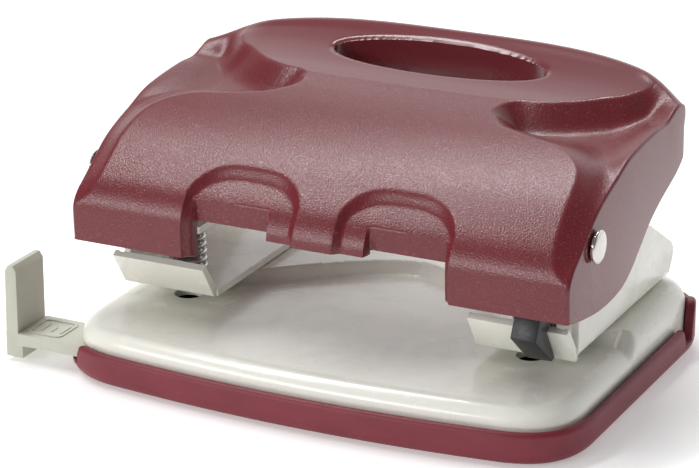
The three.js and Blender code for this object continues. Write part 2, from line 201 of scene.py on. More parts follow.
def turned(name, outline, centre, axis="z"):
    """A turned piece: (radius, height) points about an axis through centre."""
    points = []
    for radius, height in outline:
        for i in range(TURNED_SIDES):
            angle = 2 * math.pi * i / TURNED_SIDES
            a, b = radius * math.cos(angle), radius * math.sin(angle)
            across = (a, b, height) if axis == "z" else (height, a, b)
            points.append([c + offset for c, offset in zip(centre, across)])
    return mesh_object(name, points, wall_faces(TURNED_SIDES, len(outline)))


def bore(radius, low, high, centre, axis="z"):
    """A round bar to cut a hole with."""
    return turned("bore", [(0, low), (radius, low), (radius, high), (0, high)], centre, axis)


def curve_points(control, steps):
    """A smooth run through control points (Catmull-Rom)."""
    control = np.array(control, float)
    padded = np.vstack([2 * control[0] - control[1], control, 2 * control[-1] - control[-2]])
    run = []
    for p0, p1, p2, p3 in zip(padded, padded[1:], padded[2:], padded[3:]):
        for t in np.arange(steps) / steps:
            run.append(0.5 * (2 * p1 + (p2 - p0) * t + (2 * p0 - 5 * p1 + 4 * p2 - p3) * t ** 2
                              + (3 * p1 - p0 - 3 * p2 + p3) * t ** 3))
    run.append(control[-1])
    return np.array(run)


def resampled(points, count):
    """The same run with evenly spaced points, and its length at each."""
    lengths = np.concatenate([[0], np.cumsum(np.linalg.norm(np.diff(points, axis=0), axis=1))])
    places = np.linspace(0, lengths[-1], count)
    return np.stack([np.interp(places, lengths, points[:, k]) for k in range(points.shape[1])], 1), places


def smoothstep(t):
    t = np.clip(t, 0, 1)
    return t * t * (3 - 2 * t)


def smooth_min(a, b, reach):
    h = np.clip(0.5 + 0.5 * (b - a) / reach, 0, 1)
    return b + (a - b) * h - reach * h * (1 - h)


def arc(centre, radius, start, end, steps=8):
    angles = np.radians(np.linspace(start, end, steps + 1))
    return [(centre[0] + radius * math.cos(a), centre[1] + radius * math.sin(a)) for a in angles]


print("mesh helpers ready; a turned piece has", TURNED_SIDES, "sides")


# %% [markdown]
# Colours are written as sRGB hex, the way a paint chart gives them, and one function turns them to the
# linear values that the renderer works in. One more function adds a node with its settings and links.

# %% Material helpers
def linear(code):
    channels = [int(code[i:i + 2], 16) / 255 for i in (1, 3, 5)]
    return [c / 12.92 if c <= 0.04045 else ((c + 0.055) / 1.055) ** 2.4 for c in channels] + [1]


def add_node(tree, kind, settings=None, inputs=None):
    """Adds a node. A tuple as an input is a link from another node's output."""
    item = tree.nodes.new(kind)
    for key, value in (settings or {}).items():
        setattr(item, key, value)
    for key, value in (inputs or {}).items():
        if isinstance(value, tuple) and isinstance(value[0], bpy.types.Node):
            tree.links.new(value[0].outputs[value[1]], item.inputs[key])
        else:
            item.inputs[key].default_value = value
    return item


def new_material(name, **sockets):
    material = bpy.data.materials.new(name)
    material.use_nodes = True
    tree = material.node_tree
    shader = tree.nodes["Principled BSDF"]
    for key, value in sockets.items():
        shader.inputs[key.replace("_", " ")].default_value = value
    return material, tree, shader, add_node(tree, "ShaderNodeTexCoord")


def feed(tree, shader, **sources):
    """Links (node, output) pairs to the shader's sockets."""
    for key, (source, output) in sources.items():
        tree.links.new(source.outputs[output], shader.inputs[key.replace("_", " ")])


def per(size):
    """The noise scale whose grains are about size millimetres wide."""
    return 1 / (size * MM)


# Noise lies mostly between these two values, so a range over them uses all of it.
NOISE = {"From Min": 0.3, "From Max": 0.7}
print("material helpers ready; 1 mm grains need a scale of", per(1))


# %% [markdown]
# The handle is ABS, moulded in a steel tool whose front was spark-eroded: a fine even grain that breaks
# the light into sparkles, helped by pale specks painted on the grain as painted glints. Its top face was
# left smoother. An attribute on the mesh says how deep the grain is, so one material covers both; where
# the grain is shallow, on the top face and the flat sides, the colour is painted lighter as a painted
# sheen. The real grain is finer than 0.1 mm; here it is 0.35 mm wide, the finest that shows.

# %% Handle plastic
def spark_eroded_abs():
    material, tree, shader, place = new_material("spark_eroded_abs", IOR=1.55)
    depth = add_node(tree, "ShaderNodeAttribute", {"attribute_name": "grain_depth"})
    fine = add_node(tree, "ShaderNodeTexNoise", None, {
        "Vector": (place, "Object"), "Scale": per(0.35), "Detail": 1.0, "Roughness": 0.55})
    broad = add_node(tree, "ShaderNodeTexNoise", None, {
        "Vector": (place, "Object"), "Scale": per(22), "Detail": 3.0, "Roughness": 0.55})
    shade = add_node(tree, "ShaderNodeMapRange", None, {"Value": (broad, "Fac"), **NOISE})
    grain_and_painted_sheen = add_node(tree, "ShaderNodeMapRange", None, {
        "Value": (depth, "Fac"), "From Min": 0.1, "From Max": 0.9})
    front = add_node(tree, "ShaderNodeMix", {"data_type": "RGBA"}, {
        0: (shade, "Result"), 6: linear("#68161f"), 7: linear("#6e1c25")})
    # Painted sheen: where the grain is shallow, on the top face and the flat sides, the colour is lighter to stand
    # for the gloss they catch.
    body = add_node(tree, "ShaderNodeMix", {"data_type": "RGBA"}, {
        0: (grain_and_painted_sheen, "Result"), 6: linear("#6f2a31"), 7: (front, 2)})
    # Painted glints: pale specks on the peaks of the grain stand for the sparkle of light on it.
    peaks = add_node(tree, "ShaderNodeMapRange", None, {
        "Value": (fine, "Fac"), "From Min": 0.6, "From Max": 0.76, "To Max": 0.8})
    painted_glints = add_node(tree, "ShaderNodeMath", {"operation": "MULTIPLY"}, {
        0: (peaks, "Result"), 1: (depth, "Fac")})
    sparkle = add_node(tree, "ShaderNodeMix", {"data_type": "RGBA"}, {
        0: (painted_glints, "Value"), 6: (body, 2), 7: linear("#94565b")})
    matt = add_node(tree, "ShaderNodeMapRange", None, {
        "Value": (fine, "Fac"), "From Min": 0.35, "From Max": 0.7, "To Min": 0.38, "To Max": 0.24})
    rough = add_node(tree, "ShaderNodeMix", {"data_type": "FLOAT"}, {
        0: (grain_and_painted_sheen, "Result"), 2: 0.2, 3: (matt, "Result")})
    relief = add_node(tree, "ShaderNodeMath", {"operation": "MULTIPLY"}, {
        0: (fine, "Fac"), 1: (depth, "Fac")})
    bump = add_node(tree, "ShaderNodeBump", None, {"Height": (relief, "Value"), "Distance": 0.06 * MM})
    feed(tree, shader, Base_Color=(sparkle, 2), Roughness=(rough, "Result"), Normal=(bump, "Normal"))
    return material


# %% [markdown]
# The other plastics are moulded too: soft PVC for the tray, a little redder than the handle, ABS for the
# gauge and acetal for the lock. Each is semi-matt, with a slight change of shade over several millimetres
# and a fine texture from its tool. So they share one function and differ in its numbers.

# %% Other plastics
def moulded_plastic(name, shades, matt, ior=1.5, spread=8, size=0.5, height=0.012):
    """Two shades, two roughnesses, and the sizes of the cloudiness and of the fine texture."""
    material, tree, shader, place = new_material(name, IOR=ior)
    broad = add_node(tree, "ShaderNodeTexNoise", None, {
        "Vector": (place, "Object"), "Scale": per(spread), "Detail": 3.0, "Roughness": 0.55})
    fine = add_node(tree, "ShaderNodeTexNoise", None, {
        "Vector": (place, "Object"), "Scale": per(size), "Detail": 2.0, "Roughness": 0.55})
    shade = add_node(tree, "ShaderNodeMapRange", None, {"Value": (broad, "Fac"), **NOISE})
    body = add_node(tree, "ShaderNodeMix", {"data_type": "RGBA"}, {
        0: (shade, "Result"), 6: linear(shades[0]), 7: linear(shades[1])})
    rough = add_node(tree, "ShaderNodeMapRange", None, {
        "Value": (fine, "Fac"), **NOISE, "To Min": matt[0], "To Max": matt[1]})
    bump = add_node(tree, "ShaderNodeBump", None, {"Height": (fine, "Fac"), "Distance": height * MM})
    feed(tree, shader, Base_Color=(body, 2), Roughness=(rough, "Result"), Normal=(bump, "Normal"))
    return material


# %% [markdown]
# Base and brackets are steel sheet with stoved enamel: a smooth, hard, glossy coat with the slightest
# orange peel, a few millimetres from crest to crest.

# %% Stoved enamel
def stoved_enamel():
    material, tree, shader, place = new_material(
        "stoved_enamel", IOR=1.52, Coat_Weight=0.2, Coat_Roughness=0.08)
    broad = add_node(tree, "ShaderNodeTexNoise", None, {
        "Vector": (place, "Object"), "Scale": per(30), "Detail": 2.0, "Roughness": 0.55})
    peel = add_node(tree, "ShaderNodeTexNoise", None, {
        "Vector": (place, "Object"), "Scale": per(3.5), "Detail": 0.0, "Roughness": 0.55})
    shade = add_node(tree, "ShaderNodeMapRange", None, {"Value": (broad, "Fac"), **NOISE})
    body = add_node(tree, "ShaderNodeMix", {"data_type": "RGBA"}, {
        0: (shade, "Result"), 6: linear("#efeee3"), 7: linear("#f2f1e8")})
    rough = add_node(tree, "ShaderNodeMapRange", None, {
        "Value": (peel, "Fac"), **NOISE, "To Min": 0.2, "To Max": 0.28})
    bump = add_node(tree, "ShaderNodeBump", None, {"Height": (peel, "Fac"), "Distance": 0.001 * MM})
    feed(tree, shader, Base_Color=(body, 2), Roughness=(rough, "Result"), Normal=(bump, "Normal"))
    return material


# %% [markdown]
# Bright nickel plate on the caps and rivets, drawn wire for the springs and ground tool steel for the
# punches. Plate is almost a mirror; wire has fine die lines; ground steel has fine turning marks, which
# are the same noise pressed flat along the pin.

# %% Metals
def bare_metal(name, shades, matt, size, stretch=(1, 1, 1)):
    material, tree, shader, place = new_material(name, Metallic=1.0)
    turn = add_node(tree, "ShaderNodeMapping", None, {"Vector": (place, "Object"), "Scale": stretch})
    marks = add_node(tree, "ShaderNodeTexNoise", None, {
        "Vector": (turn, "Vector"), "Scale": per(size), "Detail": 3.0, "Roughness": 0.6})
    shade = add_node(tree, "ShaderNodeMapRange", None, {"Value": (marks, "Fac"), **NOISE})
    body = add_node(tree, "ShaderNodeMix", {"data_type": "RGBA"}, {
        0: (shade, "Result"), 6: linear(shades[0]), 7: linear(shades[1])})
    rough = add_node(tree, "ShaderNodeMapRange", None, {
        "Value": (marks, "Fac"), **NOISE, "To Min": matt[0], "To Max": matt[1]})
    bump = add_node(tree, "ShaderNodeBump", None, {"Height": (marks, "Fac"), "Distance": 0.004 * MM})
    feed(tree, shader, Base_Color=(body, 2), Roughness=(rough, "Result"), Normal=(bump, "Normal"))
    return material


# %% [markdown]
# Every finish is made once and kept under the name of its slot in the record. Whatever wears it then
# shares it, so a change of shade is one edit.

# %% Finishes
FINISH = {
    "handle_plastic": spark_eroded_abs(),
    "tray_plastic": moulded_plastic("soft_pvc", ("#74192a", "#7e2031"), (0.44, 0.56), 1.53, 9, 0.4, 0.015),
    "cream_enamel": stoved_enamel(),
    "gauge_plastic": moulded_plastic("gauge_abs", ("#bdbdae", "#c3c3b6"), (0.4, 0.52)),
    "black_plastic": moulded_plastic("black_acetal", ("#1c1d20", "#232529"), (0.34, 0.46)),
    "nickel_steel": bare_metal("nickel_plate", ("#cfcac3", "#dbd7d1"), (0.16, 0.24), 0.8),
    "spring_steel": bare_metal("drawn_wire", ("#a9a8a6", "#c6c5c2"), (0.24, 0.36), 0.3),
    "tool_steel": bare_metal("ground_steel", ("#8d8d8f", "#a3a3a5"), (0.26, 0.4), 0.25, (1, 1, 6)),
}
print("finishes:", ", ".join(sorted(FINISH)))


def finished(piece, slot, body, *nodes):
    """Gives a piece its finish, its body and the nodes that it stands for."""
    piece.data.materials.clear()
    piece.data.materials.append(FINISH[slot])
    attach(piece, body)
    if nodes:
        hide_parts(*nodes)
    return piece


# %% [markdown]
# The base and the tray share one footprint: a rounded rectangle whose front edge bows a little. It is
# drawn once, as a dense ring of points, and each ring of either piece is that footprint grown or shrunk.

# %% Footprint
BASE = {"left": BASE_LOW[0], "right": BASE_HIGH[0], "back": BASE_HIGH[1], "front": -28.5, "bow": 2.8,
        "corner": 13}


def bend(start, middle, end):
    """A quadratic curve from start to end, drawn towards middle."""
    start, middle, end = np.array(start), np.array(middle), np.array(end)
    shares = np.linspace(0, 1, 25)
    return [tuple((1 - t) ** 2 * start + 2 * t * (1 - t) * middle + t * t * end) for t in shares]


def footprint(grow, count):
    left = BASE["left"] - grow
    right = BASE["right"] + grow
    middle = (left + right) / 2
    front = BASE["front"] - grow
    back = BASE["back"] + grow
    r = BASE["corner"] + grow
    rise = 2 * BASE["bow"] * r / (right - r - middle)
    quarter = np.linspace(0, math.pi / 2, 25)
    rear_right = [(right - r + r * math.cos(a), back - r + r * math.sin(a)) for a in quarter]
    rear_left = [(left + r - r * math.sin(a), back - r + r * math.cos(a)) for a in quarter]
    front_left = bend((left, front + rise + r), (left, front + rise), (left + r, front))
    bow = bend((left + r, front), (middle, front - 2 * BASE["bow"]), (right - r, front))
    front_right = bend((right - r, front), (right, front + rise), (right, front + rise + r))
    ring = np.array(rear_right + rear_left + front_left + bow[1:-1] + front_right + [rear_right[0]])
    return resampled(ring, count + 1)[0][:-1]


print("footprint", round(BASE["right"] - BASE["left"], 1), "mm wide, corners of", BASE["corner"], "mm")


# %% [markdown]
# The base is one steel pressing: a flat paper table, a raised platform behind it whose front edge is a
# deep arc, and a skirt all round. It could be cut from solids, but a pressing has no sharp edge anywhere.
# So it is built from rings that run up the skirt, over the rounded edge and in to the middle, and the
# height of each point comes from one rule. The inside is the same surface, one sheet thickness lower.

# %% Base pressing
BASE_POINTS = 520
OUTER_RINGS, INNER_RINGS = 110, 36
EDGE_RADIUS = 3.6
GAUGE_SLOT_TOP = 6.9
ARC = {"half_width": 31, "front": 11.6, "reach": 20.8}


def platform_edge(x):
    """Where the platform's front edge is: a deep arc between two straight ends."""
    across = np.minimum(np.abs(x) / ARC["half_width"], 1)
    return ARC["front"] + ARC["reach"] * (1 - across ** 1.55) ** 1.12


def table_height(x, y):
    blend = 1.1 + 1.4 * smoothstep((np.abs(x) - 44) / 10)
    rise = smoothstep((y - platform_edge(x) + blend) / (2 * blend))
    return TABLE_Z + (PLATFORM_Z - TABLE_Z) * rise


def pressing_surface(inset, steps):
    """Rings from the skirt's lower edge to the middle of the table."""
    centre = np.array([0.0, 9.0])
    radius = EDGE_RADIUS - inset
    rings = []
    edge = footprint(-inset, BASE_POINTS)
    for z in np.linspace(BASE_LOW[2], 7.6, 4):
        rings.append(np.column_stack([edge, np.full(len(edge), z)]))
    for angle in np.linspace(0, math.pi / 2, 8):
        ring = footprint(-inset - radius * (1 - math.cos(angle)), BASE_POINTS)
        top = table_height(edge[:, 0], edge[:, 1]) - inset
        rings.append(np.column_stack([ring, top - radius * (1 - math.sin(angle))]))
    rim = footprint(-inset - radius, BASE_POINTS)
    for share in np.linspace(0, 1, steps)[1:]:
        ring = centre + (rim - centre) * (1 - share * 0.996)
        rings.append(np.column_stack([ring, table_height(ring[:, 0], ring[:, 1]) - inset]))
    return rings


def base_pressing():
    rings = pressing_surface(0, OUTER_RINGS)[::-1] + pressing_surface(SHEET, INNER_RINGS)
    dies = [bore(PIN_BORE, 5, 20, (side * PUNCH_X, 0, 0)) for _, side in SIDES]
    window = block("window", (-62, GAUGE_LOW[1] - GAP, 0), (-44, GAUGE_HIGH[1] + GAP, GAUGE_SLOT_TOP))
    return combine(loft("base_pressing", rings), dies + [window], "DIFFERENCE", solver="EXACT")


base = finished(base_pressing(), "cream_enamel", "base", "base_plate")
print("base:", len(base.data.polygons), "faces")


# %% [markdown]
# The tray is soft plastic, stretched over the skirt. Its wall is a rounded bead, and at the back it
# climbs into a lug that snaps over the corners. The height of the bead is a rule along the footprint.

# %% Chip tray
TRAY = {"wall": 2.0, "rim": 7.5, "turn": 3.6, "floor": 1.6, "points": 480}


def rim_height(x, y):
    """The height of the rim: a lug at the back, a release notch and a notch for the gauge."""
    lug = 4.2 * smoothstep((y - 40.8) / 2) - 1.6 * smoothstep((y - 45) / 5)
    release = 3.6 * smoothstep((x - 48) / 2) * (smoothstep((y - 36.5) / 0.8) - smoothstep((y - 40.6) / 0.8))
    along = smoothstep((y - GAUGE_LOW[1] + 1.2) / 0.9) - smoothstep((y - GAUGE_HIGH[1] - 0.3) / 0.9)
    notch = 3.9 * along * smoothstep((-x - 46) / 1)
    return TRAY["rim"] + lug - np.maximum(release, 0) - notch


def chip_tray():
    count = TRAY["points"]
    bead = TRAY["wall"] / 2
    turn = TRAY["turn"]
    centre = np.array([0.0, 10.0])
    outline = footprint(GAP + bead, count)
    height = rim_height(outline[:, 0], outline[:, 1])
    rings = []

    def ring(grow, z, shares=(1,)):
        """A ring that far outside the middle of the wall, and its copies shrunk towards the centre."""
        edge = footprint(GAP + bead + grow, count)
        for share in shares:
            inset = centre + (edge - centre) * share
            rings.append(np.column_stack([inset, np.broadcast_to(z, count)]))

    floor_shares = (0.99, 0.7, 0.4, 0.02)
    ring(bead - turn, 0.0, floor_shares[::-1])
    for angle in np.linspace(0, math.pi / 2, 9):
        ring(bead - turn * (1 - math.sin(angle)), turn * (1 - math.cos(angle)))
    for share in np.linspace(0.2, 0.9, 4):
        ring(bead, turn + (height - bead - turn) * share)
    for angle in np.linspace(0, math.pi, 11):
        ring(bead * math.cos(angle), height - bead + bead * math.sin(angle))
    inner_foot = TRAY["floor"] + 0.6
    for share in (0.75, 0.5, 0.25):
        ring(-bead, inner_foot + (height - bead - inner_foot) * share)
    ring(-bead, inner_foot)
    ring(-bead - 0.6, TRAY["floor"])
    ring(-bead - 0.6, TRAY["floor"], floor_shares)
    return loft("soft_tray", rings, crisp=50)


tray = finished(chip_tray(), "tray_plastic", "tray", "chip_tray")
print("tray:", len(tray.data.polygons), "faces")


# %% [markdown]
# Each bracket is one piece of folded sheet: a guide plate for the pin, an outer cheek that carries the
# axle, a lip that leans forward to lead the paper in, and a small tab above that guides the pin's top.
# The fold between plate and cheek is drawn with its real bend radius and the rest is joined to it,
# then every cut edge gets the small round that tumbling leaves.

# %% Brackets
PLATE_INNER = 29.8
BEND = 2.4
PLATE_HOLES_X = (35, 45.7)


def folded_sheet(name, side):
    """The fold between the plate and the cheek, cut to the cheek's outline."""
    x1 = BRACKET_HIGH[0]
    z0, z1 = PLATE_Z, PLATE_Z + SHEET
    fold = [(PLATE_INNER, z0)] + arc((x1 - BEND, z0 + BEND), BEND, -90, 0)
    fold += [(x1, 60), (x1 - SHEET, 60)] + arc((x1 - BEND, z0 + BEND), BEND - SHEET, 0, -90)
    fold += [(PLATE_INNER, z1)]
    body = prism(name, [(side * x, z) for x, z in fold], -5.4, BRACKET_HIGH[1], "y")
    cheek = [(-5.4, z0), (44, z0), (47, z0), (47, z1 + 0.02), (46.5, z1 + 0.02)]
    cheek += arc((45.3, 20.2), 3.2, -20, 55)
    cheek += [(34.1, 30.6), (31.2, 31.6)] + arc((AXLE_Y, AXLE_Z), 3.0, 72, 180, 12)
    return combine(body, [prism("silhouette", cheek, -60, 60, "x")], "INTERSECT", solver="EXACT")


def bracket(word, side):
    x0, x1 = PLATE_INNER, BRACKET_HIGH[0]
    z0, z1 = PLATE_Z, PLATE_Z + SHEET
    lip_outline = [(-6, z0), (-11, 22), (-9.7, 22.8), (-4.7, z1), (-4.7, z0)]
    lip = prism("lip", lip_outline, side * (x0 + 0.6), side * (x1 - 0.4), "x")
    near, far = sorted((side * 34.5, side * (x1 - 0.5)))
    tab = block("tab", (near, -4.6, 27.5), (far, 5, 29))
    body = folded_sheet(f"{word}_folded_bracket", side)
    body = combine(body, [lip, tab], "UNION", solver="EXACT")
    cuts = [bore(PIN_BORE, 10, 40, (side * PUNCH_X, 0, 0))]
    cuts += [bore(2.75, 10, 20, (side * x, 35.8, 0)) for x in PLATE_HOLES_X]
    cuts += [bore(1.8, 10, 20, (side * x, RIVET_Y, 0)) for x in RIVET_X.values()]
    cuts += [bore(AXLE_BORE, 0, 20, (side * 45 - (10 if side < 0 else 0), AXLE_Y, AXLE_Z), "x")]
    slit = [(-6.2, 16.8), (-12, 26), (-10, 26.6), (-4, 17.4)]
    cuts += [prism("slit", slit, side * 50.0, side * 51.2, "x")]
    body = combine(body, cuts, "DIFFERENCE", solver="EXACT")
    return bevelled(body, 0.28, 2, 40)


for word, side in SIDES:
    finished(bracket(word, side), "cream_enamel", "base", f"{word}_bracket")
print("brackets folded")


# %% [markdown]
# Return springs are wire wound on a mandrel. A spiral with a circle swept along it is that process, so
# Geometry Nodes makes it, with the wire, radii and number of turns as inputs.

# %% Return springs
def spring_tree():
    tree = bpy.data.node_groups.new("wound_spring", "GeometryNodeTree")
    for key in ("Turns", "Lower radius", "Upper radius", "Height", "Wire", "X", "Z"):
        tree.interface.new_socket(key, in_out="INPUT", socket_type="NodeSocketFloat")
    tree.interface.new_socket("Finish", in_out="INPUT", socket_type="NodeSocketMaterial")
    tree.interface.new_socket("Geometry", in_out="OUTPUT", socket_type="NodeSocketGeometry")
    source = add_node(tree, "NodeGroupInput")
    spiral = add_node(tree, "GeometryNodeCurveSpiral", None, {
        "Resolution": 40, "Rotations": (source, "Turns"), "Start Radius": (source, "Lower radius"),
        "End Radius": (source, "Upper radius"), "Height": (source, "Height")})
    wire = add_node(tree, "GeometryNodeCurvePrimitiveCircle", None, {
        "Resolution": 14, "Radius": (source, "Wire")})
    tube = add_node(tree, "GeometryNodeCurveToMesh", None, {
        "Curve": (spiral, "Curve"), "Profile Curve": (wire, "Curve"), "Fill Caps": True})
    at = add_node(tree, "ShaderNodeCombineXYZ", None, {"X": (source, "X"), "Z": (source, "Z")})
    placed = add_node(tree, "GeometryNodeTransform", None, {
        "Geometry": (tube, "Mesh"), "Translation": (at, "Vector")})
    real = add_node(tree, "GeometryNodeRealizeInstances", None, {"Geometry": (placed, "Geometry")})
    painted = add_node(tree, "GeometryNodeSetMaterial", None, {
        "Geometry": (real, "Geometry"), "Material": (source, "Finish")})
    add_node(tree, "NodeGroupOutput", None, {"Geometry": (painted, "Geometry")})
    return tree


def grown(name, tree, values, crisp):
    """Runs a node tree once and keeps its result as plain mesh."""
    piece = bpy.data.objects.new(name, bpy.data.meshes.new(name))
    bpy.context.scene.collection.objects.link(piece)
    modifier = piece.modifiers.new("shape", "NODES")
    modifier.node_group = tree
    for item in tree.interface.items_tree:
        if item.in_out == "INPUT" and item.name in values:
            modifier[item.identifier] = values[item.name]
    return settled(piece, crisp)


winding = spring_tree()
SPRING_FOOT = PLATE_Z + SHEET + GAP
WIRE = 0.38
COIL = {"Turns": 5.6, "Lower radius": 4.0 * MM, "Upper radius": 3.55 * MM, "Height": 9.1 * MM,
        "Wire": WIRE * MM}
for word, side in SIDES:
    place = {"X": side * PUNCH_X * MM, "Z": (SPRING_FOOT + WIRE) * MM, "Finish": FINISH["spring_steel"]}
    wound = grown(f"{word}_wound_spring", winding, {**COIL, **place}, 60)
    finished(wound, "spring_steel", "base", f"{word}_return_spring")
    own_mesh(wound)
print("springs wound")


# %% [markdown]
# Pins, clips, rivets, caps and washers are turned or stamped parts. The pins, clips, rivets and caps are
# turned here from their drawn outlines, with the small chamfers and domes that catch the light.

# %% Turned parts
def dome(radius, height, base):
    """The outline of a shallow domed head, from just above its rim to its middle."""
    angles = np.linspace(0, math.pi / 2, 8)[1:]
    return [(radius * math.cos(a), base + height * math.sin(a)) for a in angles]


def punch_pin(word, side):
    tip = PIN_LOW[2]
    r = 2.75
    outline = [(0, tip + 0.9), (r - 0.3, tip), (r - 0.05, tip), (r, tip + 0.15), (r, 34.8), (3.3, 35.0),
               (3.4, 35.1), (3.4, 35.9), (3.1, 36.2), (0, 36.2)]
    return turned(f"{word}_ground_pin", outline, (side * PUNCH_X, 0, 0))


def e_clip(word, side):
    outline = [(2.9, 26.25), (2.95, 26.2), (4.25, 26.2), (4.3, 26.25), (4.3, 27.15), (4.25, 27.2),
               (2.95, 27.2), (2.9, 27.15), (2.9, 26.25)]
    ring = turned(f"{word}_e_clip", outline, (side * PUNCH_X, 0, 0))
    mouth = block("mouth", (side * PUNCH_X - 1.6, -6, 25), (side * PUNCH_X + 1.6, -2, 29))
    return combine(ring, [mouth], "DIFFERENCE", solver="EXACT")


def rivet(name, x):
    top = PLATE_Z + SHEET + GAP
    under = PLATFORM_Z - SHEET - GAP
    outline = [(0, under - 1), (2.3, under - 1), (2.6, under - 0.7), (2.6, under), (1.5, under), (1.5, top),
               (2.6, top), (2.6, top + 0.2)] + dome(2.6, 1.0, top + 0.2)
    return turned(name, outline, (x, RIVET_Y, 0))


def axle_cap(word, side):
    face = COVER_HIGH[0] + GAP
    outline = [(0, 0), (2.9, 0), (3.05, 0.1), (3.05, 0.42), (2.7, 0.45), (2.7, 0.55), (3.4, 0.58),
               (3.5, 0.68), (3.5, 0.8)] + dome(3.5, 0.68, 0.8)
    outline = [(radius, side * (face + out)) for radius, out in outline]
    return turned(f"{word}_domed_cap", outline, (0, AXLE_Y, AXLE_Z), "x")


for word, side in SIDES:
    finished(punch_pin(word, side), "tool_steel", f"{word}_punch", f"{word}_punch_pin")
    finished(e_clip(word, side), "spring_steel", f"{word}_punch", f"{word}_retaining_clip")
    finished(axle_cap(word, side), "nickel_steel", "handle", f"{word}_axle_cap")
    for place, x in RIVET_X.items():
        head = rivet(f"{word}_{place}_rivet_head", side * x)
        finished(head, "nickel_steel", "base", f"{word}_{place}_rivet")
print("turned parts made")


# %% [markdown]
# The lock is a small moulded block that saddles the right lip and slides along it.

# %% Lock slider
def lock_block():
    outline = [(-17.5, 22), (-8.8, 14.8), (-6.4, 15.2), (-5, 18.2), (-8.6, 26.8), (-15.2, 26.8)]
    track = [(-5.4, 13.8), (-6.6, PLATE_Z - GAP), (-11.6, 22.2), (-9.6, 23.4), (-4.4, 15.8)]
    body = prism("lock_block", outline, LOCK_LOW[0], LOCK_HIGH[0], "x")
    groove = prism("track", track, LOCK_LOW[0] - 2, LOCK_HIGH[0] + 2, "x")
    body = combine(body, [groove], "DIFFERENCE", solver="EXACT")
    return bevelled(body, 0.25, 2, 25)


lock = finished(lock_block(), "black_plastic", "lock", "lock_slider")
print("lock:", len(lock.data.polygons), "faces")


# %% [markdown]
# The paper gauge is a moulded bar with an upright stop. Its upper face carries raised format marks.

# %% Paper gauge
def rounded_outline(x0, y0, x1, y1, r):
    run = []
    corners = ((x1 - r, y1 - r), (x0 + r, y1 - r), (x0 + r, y0 + r), (x1 - r, y0 + r))
    for quarter, corner in enumerate(corners):
        run += arc(corner, r, 90 * quarter, 90 * quarter + 90, 6)
    return run


def paper_gauge():
    (_, y0, foot_z), (x1, y1, top_z) = GAUGE_LOW, GAUGE_HIGH
    bar_low, bar_high = 4.0, 6.6
    stop_x = GAUGE_LOW[0] + 3
    bar = block("gauge_slide", (stop_x, y0, bar_low), (x1, y1, bar_high))
    upright = [(stop_x - 3, foot_z), (stop_x, foot_z), (stop_x, top_z - 1.2), (stop_x - 0.8, top_z),
               (stop_x - 2.0, top_z), (stop_x - 2.7, top_z - 1.2)]
    stop = prism("stop", upright, y0 + 0.5, y1 - 0.5, "y")
    foot = block("foot", (stop_x - 3, y0 + 0.5, foot_z), (stop_x + 1, y1 - 0.5, bar_high))
    body = bevelled(combine(bar, [foot, stop], "UNION", solver="EXACT"), 0.5, 3, 30)
    outer = rounded_outline(stop_x + 1.2, y0 + 1.6, stop_x + 9.6, y1 - 1.6, 1.6)
    inner = rounded_outline(stop_x + 1.8, y0 + 2.2, stop_x + 9.0, y1 - 2.2, 1.0)
    raised = combine(prism("raised_frame", outer, 6.3, 6.85, "z"),
                     [prism("within", inner, 5, 8, "z")], "DIFFERENCE", solver="EXACT")
    marks = []
    for k, length in enumerate((4, 2.6, 4)):
        x = stop_x + 3.4 + 2.4 * k
        marks.append(block("mark", (x, y0 + 4, 6.3), (x + 0.4, y0 + 4 + length, 6.8)))
    return combine(body, [raised] + marks, "UNION", solver="EXACT")


gauge = finished(paper_gauge(), "gauge_plastic", "gauge", "paper_gauge")
print("gauge:", len(gauge.data.polygons), "faces")


# %% [markdown]
# The handle's cover is the piece that the eye goes to. Its front is a bulging panel; a flowing edge
# divides it from a hollow on either side, which starts as a thumb rest under the top face and runs down
# to the corner. It could be carved with booleans, but these edges fade in and out. So the cover is one
# dense sheet over a smooth base section, and each feature is a depth, measured from its own drawn line.

# %% Cover: base section
WIDTH = COVER_HIGH[0]
WALL = 1.8
CHEEK = 2.6
EDGE = 0.5
REAR = {"y": 54.9, "z": 61.8}
FRONT = [(-20, 27.9), (-20.3, 32), (-20.1, 36.5), (-17.6, 41), (-13, 45.3), (-7.5, 49.3), (-1, 52.3),
         (7, 54.7), (16, 56.1), (25.4, 56.8)]


def rear_edge(x):
    """Where the rear edge is: it curves forward towards the cheeks."""
    return REAR["y"] - 12.2 * np.minimum(np.abs(x) / WIDTH, 1) ** 4


def section(x):
    """Base section at x: front and top, then the rolled rear edge."""
    across = min(abs(x) / WIDTH, 1)
    rear_y = rear_edge(x)
    rolled = smoothstep((abs(x) - 42) / 14.1) ** 1.6
    rear_z = REAR["z"] - 3.4 * across ** 3 - 2.2 * rolled
    start_y, start_z = FRONT[-1]
    reach = (rear_y - 2 - start_y) / (REAR["y"] - 2 - start_y)
    lift = (rear_z - start_z) / (REAR["z"] - start_z)
    top = [(33, 57.4), (41, 58.6), (48, 60.2)]
    top = [(start_y + (y - start_y) * reach, start_z + (z - start_z) * lift) for y, z in top]
    rear = [(rear_y - 2.2, rear_z - 0.2), (rear_y - 0.3, rear_z - 1.2), (rear_y + 0.1, rear_z - 3.4),
            (rear_y - 0.4, rear_z - 5.6)]
    return curve_points(FRONT + top + rear, 10)


MIDDLE = section(0)
MIDDLE_LENGTH = np.concatenate([[0], np.cumsum(np.linalg.norm(np.diff(MIDDLE, axis=0), axis=1))])


def along(y, z):
    """Length along the middle section to its point nearest to (y, z)."""
    return MIDDLE_LENGTH[np.argmin(np.hypot(MIDDLE[:, 0] - y, MIDDLE[:, 1] - z))]


print("cover section:", round(MIDDLE_LENGTH[-1], 1), "mm from skirt to rear edge")


# %% [markdown]
# The hollows lie between two drawn lines. The ridge is the flowing edge of the front panel, and the
# crease is the edge of the top face. Both are kept as distance across and length along the section, so
# that they can be compared with any point of the sheet.

